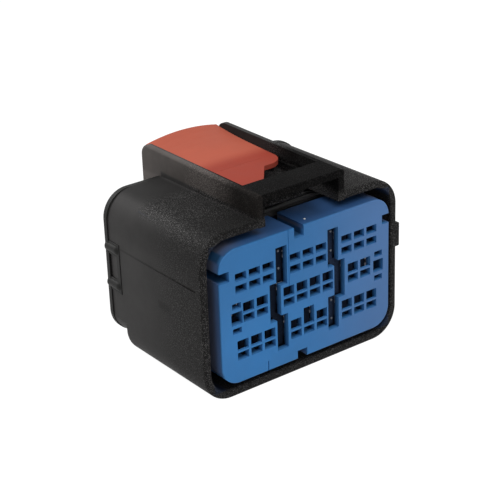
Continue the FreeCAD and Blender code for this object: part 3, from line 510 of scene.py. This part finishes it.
class PLUG_OT_rear_cover(bpy.types.Operator):
    """Finishes the rear cover"""

    bl_idname = "plug.rear_cover"
    bl_label = "Rear cover"

    def execute(self, context):
        colours, sizes = context.scene.plug_colours, context.scene.plug_sizes
        cover = moulded_plastic(
            "cover_black", colours.cover, sizes.grain, 0.55, COVER_GRAIN_DEPTH, sheen=0.2
        )
        dress("rear_cover", cover)
        return {"FINISHED"}


class PLUG_OT_front_holder(bpy.types.Operator):
    """Finishes the blue front holder"""

    bl_idname = "plug.front_holder"
    bl_label = "Front holder"

    def execute(self, context):
        colours, sizes = context.scene.plug_colours, context.scene.plug_sizes
        dress("front_holder", holder_plastic("holder_blue", colours, sizes.grain))
        return {"FINISHED"}


class PLUG_OT_lock_slider(bpy.types.Operator):
    """Finishes the coral lock slider"""

    bl_idname = "plug.lock_slider"
    bl_label = "Lock slider"

    def execute(self, context):
        colours, sizes = context.scene.plug_colours, context.scene.plug_sizes
        dress("lock_slider", slider_plastic("slider_coral", colours, sizes.grain))
        return {"FINISHED"}


class PLUG_OT_seals(bpy.types.Operator):
    """Finishes the two silicone seals"""

    bl_idname = "plug.seals"
    bl_label = "Seals"

    def execute(self, context):
        colours, sizes = context.scene.plug_colours, context.scene.plug_sizes
        silicone = moulded_plastic("silicone", colours.silicone, sizes.grain, 0.6, FINE_GRAIN_DEPTH)
        dress("perimeter_seal", silicone)
        dress("wire_seal", silicone)
        return {"FINISHED"}


class PLUG_OT_contacts(bpy.types.Operator):
    """Finishes every socket contact"""

    bl_idname = "plug.contacts"
    bl_label = "Contacts"

    def execute(self, context):
        tin = tin_plate("tin_plate", context.scene.plug_colours.tin)
        for name in SOCKETS:
            dress(name, tin)
        return {"FINISHED"}


# places of the pips on the fronts of the ribs, and of the speck on the holder (mm)
PIPS = (
    (-6.51, -14.85, 30.30), (-6.50, -14.85, 26.20), (8.10, -14.85, 30.53),
    (8.10, -14.85, 25.94), (8.10, -14.85, 13.91), (8.10, -14.85, 9.41),
)
# the white speck on the holder is a painted glint
SPECK = (1.22, -14.43, 35.30)


def bead(name, place, radius, height, facing, material):
    """A small rounded bead that sits on a face: rings that close over a crown, on a flat back."""
    rings, around, lobes, waver = 7, 24, 3, 0.06
    turn = Vector((0.0, 0.0, 1.0)).rotation_difference(Vector(facing)).to_matrix()
    work = bmesh.new()
    loops = []
    for ring in range(rings):
        angle = ring / rings * math.pi / 2
        loop = []
        for step in range(around):
            spread = radius * math.cos(angle) * (1.0 + waver * math.sin(lobes * math.tau * step / around))
            point = Vector((
                spread * math.cos(math.tau * step / around),
                spread * math.sin(math.tau * step / around),
                height * math.sin(angle),
            ))
            loop.append(work.verts.new(turn @ point + Vector(place) * MM))
        loops.append(loop)
    crown = work.verts.new(turn @ Vector((0.0, 0.0, height)) + Vector(place) * MM)
    work.faces.new(list(reversed(loops[0])))
    for low, high in zip(loops, loops[1:]):
        for step in range(around):
            after = (step + 1) % around
            work.faces.new((low[step], low[after], high[after], high[step]))
    for step in range(around):
        work.faces.new((loops[-1][step], loops[-1][(step + 1) % around], crown))
    mesh = bpy.data.meshes.new(name)
    work.to_mesh(mesh)
    work.free()
    mesh.polygons.foreach_set("use_smooth", [len(face.vertices) < 5 for face in mesh.polygons])
    mesh.materials.append(material)
    piece = bpy.data.objects.new(name, mesh)
    bpy.context.scene.collection.objects.link(piece)
    return piece


class PLUG_OT_pips(bpy.types.Operator):
    """Adds the small glossy pips on the ribs that stand in the slots"""

    bl_idname = "plug.pips"
    bl_label = "Pips"

    def execute(self, context):
        colours, sizes = context.scene.plug_colours, context.scene.plug_sizes
        gloss = moulded_plastic(
            "pip_gloss", colours.pip, sizes.grain, 0.15, GLOSSY_GRAIN_DEPTH, 0.1, 0.6
        )
        for number, place in enumerate(PIPS, 1):
            pip = bead(f"pip_{number}", place, sizes.pip, sizes.pip * PIP_RISE, (0.0, -1.0, 0.0), gloss)
            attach(pip, "plug")
        return {"FINISHED"}


class PLUG_OT_speck(bpy.types.Operator):
    """Adds the white speck on top of the holder, a painted glint"""

    bl_idname = "plug.speck"
    bl_label = "Speck"

    def execute(self, context):
        colours, sizes = context.scene.plug_colours, context.scene.plug_sizes
        # painted glint: a white speck on the holder's top
        painted_glint = moulded_plastic("painted_glint", colours.painted_glint, sizes.grain, 0.8, FINE_GRAIN_DEPTH, 0.1, 0.2)
        speck = bead("painted_glint_speck", SPECK, sizes.speck, sizes.speck * SPECK_RISE, (0.0, 0.0, 1.0), painted_glint)
        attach(speck, "holder")
        return {"FINISHED"}


LAMPS = (
    # name, place (m), aimed at (m), width (m), energy (W)
    ("lamp_rear", (-0.15, 0.22, 0.25), (0.0, 0.01, 0.03), 0.20, 0.95),
    ("lamp_front", (0.0, -0.50, 0.10), (0.0, 0.0, 0.02), 0.30, 0.60),
    ("lamp_side", (-0.25, -0.40, 0.25), (0.0, 0.0, 0.02), 0.30, 0.15),
    ("lamp_top", (0.0, -0.25, 0.40), (0.0, 0.0, 0.02), 0.30, 0.96),
)


def aim(place, target):
    """The turn that points a lamp's or camera's -Z axis at a target."""
    return (Vector(target) - Vector(place)).to_track_quat("-Z", "Y").to_euler()


def add_lamp(name, place, target, width, energy):
    """One square soft lamp."""
    data = bpy.data.lights.new(name, "AREA")
    data.shape = "SQUARE"
    data.size = width
    data.energy = energy
    lamp = bpy.data.objects.new(name, data)
    lamp.location = place
    lamp.rotation_euler = aim(place, target)
    bpy.context.scene.collection.objects.link(lamp)
    return lamp


def seen_directly(tree):
    """1 for rays from the camera, a mirror or glass, and 0 for soft light."""
    rays = tree.nodes.new("ShaderNodeLightPath").outputs
    seen = maths(tree, "MAXIMUM", rays["Is Camera Ray"], rays["Is Glossy Ray"])
    return maths(tree, "MAXIMUM", seen, rays["Is Transmission Ray"])


def mix_seen(tree, soft, seen):
    """Mixes what soft light meets with what is seen directly."""
    node = tree.nodes.new("ShaderNodeMixShader")
    tree.links.new(seen_directly(tree), node.inputs["Fac"])
    tree.links.new(soft, node.inputs[1])
    tree.links.new(seen, node.inputs[2])
    return node.outputs[0]


def matt(tree, colour):
    """A plain matt surface of one colour."""
    node = tree.nodes.new("ShaderNodeBsdfDiffuse")
    node.inputs["Color"].default_value = (*colour, 1.0)
    return node.outputs[0]


def white_floor_material(colour, glow):
    """A white floor that glows where it is seen, so that only a faint shadow shows."""
    material = bpy.data.materials.new("white_floor")
    material.use_nodes = True
    tree = material.node_tree
    tree.nodes.clear()
    out = tree.nodes.new("ShaderNodeOutputMaterial")
    shine = tree.nodes.new("ShaderNodeEmission")
    shine.inputs["Strength"].default_value = glow
    both = tree.nodes.new("ShaderNodeAddShader")
    tree.links.new(matt(tree, scaled(colour, FLOOR_LIT)), both.inputs[0])
    tree.links.new(shine.outputs[0], both.inputs[1])
    tree.links.new(mix_seen(tree, matt(tree, colour), both.outputs[0]), out.inputs["Surface"])
    return material


def background(tree, strength):
    """A white background of one strength."""
    node = tree.nodes.new("ShaderNodeBackground")
    node.inputs["Color"].default_value = (1.0, 1.0, 1.0, 1.0)
    node.inputs["Strength"].default_value = strength
    return node.outputs[0]


def white_world(sky):
    """Even light from all round, which looks white where it is seen."""
    world = bpy.data.worlds.new("white_world")
    bpy.context.scene.world = world
    world.use_nodes = True
    tree = world.node_tree
    tree.nodes.clear()
    out = tree.nodes.new("ShaderNodeOutputWorld")
    tree.links.new(mix_seen(tree, background(tree, sky), background(tree, 1.0)), out.inputs["Surface"])


class PLUG_OT_stage(bpy.types.Operator):
    """Sets the floor, the lamps and the camera"""

    bl_idname = "plug.stage"
    bl_label = "Stage"

    def execute(self, context):
        scene, stage = context.scene, context.scene.plug_stage
        scene.view_settings.view_transform = "Standard"
        white_world(stage.sky)
        mesh = bpy.data.meshes.new("floor")
        corners = [(-1, -1), (1, -1), (1, 1), (-1, 1)]
        mesh.from_pydata([(x * FLOOR_REACH, y * FLOOR_REACH, 0.0) for x, y in corners], [], [(0, 1, 2, 3)])
        floor = bpy.data.objects.new("floor", mesh)
        scene.collection.objects.link(floor)
        floor.data.materials.append(white_floor_material(scene.plug_colours.floor, stage.floor_glow))
        for lamp in LAMPS:
            add_lamp(*lamp)
        data = bpy.data.cameras.new("camera")
        data.sensor_width = 36.0
        data.lens = stage.lens
        data.clip_start = 0.01
        camera = bpy.data.objects.new("camera", data)
        turn = Matrix.Rotation(-stage.yaw, 4, "Z") @ Matrix.Rotation(math.pi / 2 - stage.pitch, 4, "X")
        turn = turn @ Matrix.Rotation(stage.roll, 4, "Z")
        camera.matrix_world = Matrix.Translation(stage.camera_place) @ turn
        scene.collection.objects.link(camera)
        scene.camera = camera
        return {"FINISHED"}


class PLUG_PT_panel(bpy.types.Panel):
    """Lists the plug's pieces and their values"""

    bl_idname = "PLUG_PT_panel"
    bl_label = "Loom plug"
    bl_space_type = "VIEW_3D"
    bl_region_type = "UI"
    bl_category = "Loom plug"

    def draw(self, context):
        layout = self.layout
        for group in (context.scene.plug_colours, context.scene.plug_sizes, context.scene.plug_stage):
            for name in group.__annotations__:
                layout.prop(group, name)
        for operator in OPERATORS:
            layout.operator(operator.bl_idname)


OPERATORS = (
    PLUG_OT_housing,
    PLUG_OT_rear_cover,
    PLUG_OT_front_holder,
    PLUG_OT_lock_slider,
    PLUG_OT_seals,
    PLUG_OT_contacts,
    PLUG_OT_pips,
    PLUG_OT_speck,
    PLUG_OT_stage,
)
GROUPS = (PlugColours, PlugSizes, PlugStage)


def register():
    """Registers the classes and hangs the values on the scene."""
    for cls in GROUPS + OPERATORS + (PLUG_PT_panel,):
        bpy.utils.register_class(cls)
    bpy.types.Scene.plug_colours = PointerProperty(type=PlugColours)
    bpy.types.Scene.plug_sizes = PointerProperty(type=PlugSizes)
    bpy.types.Scene.plug_stage = PointerProperty(type=PlugStage)


def unregister():
    """Takes the values and the classes away again."""
    del bpy.types.Scene.plug_stage
    del bpy.types.Scene.plug_sizes
    del bpy.types.Scene.plug_colours
    for cls in reversed(GROUPS + OPERATORS + (PLUG_PT_panel,)):
        bpy.utils.unregister_class(cls)


def main():
    """Runs every step in order."""
    register()
    for operator in OPERATORS:
        group, step = operator.bl_idname.split(".")
        getattr(getattr(bpy.ops, group), step)()


if __name__ == "__main__":
    main()
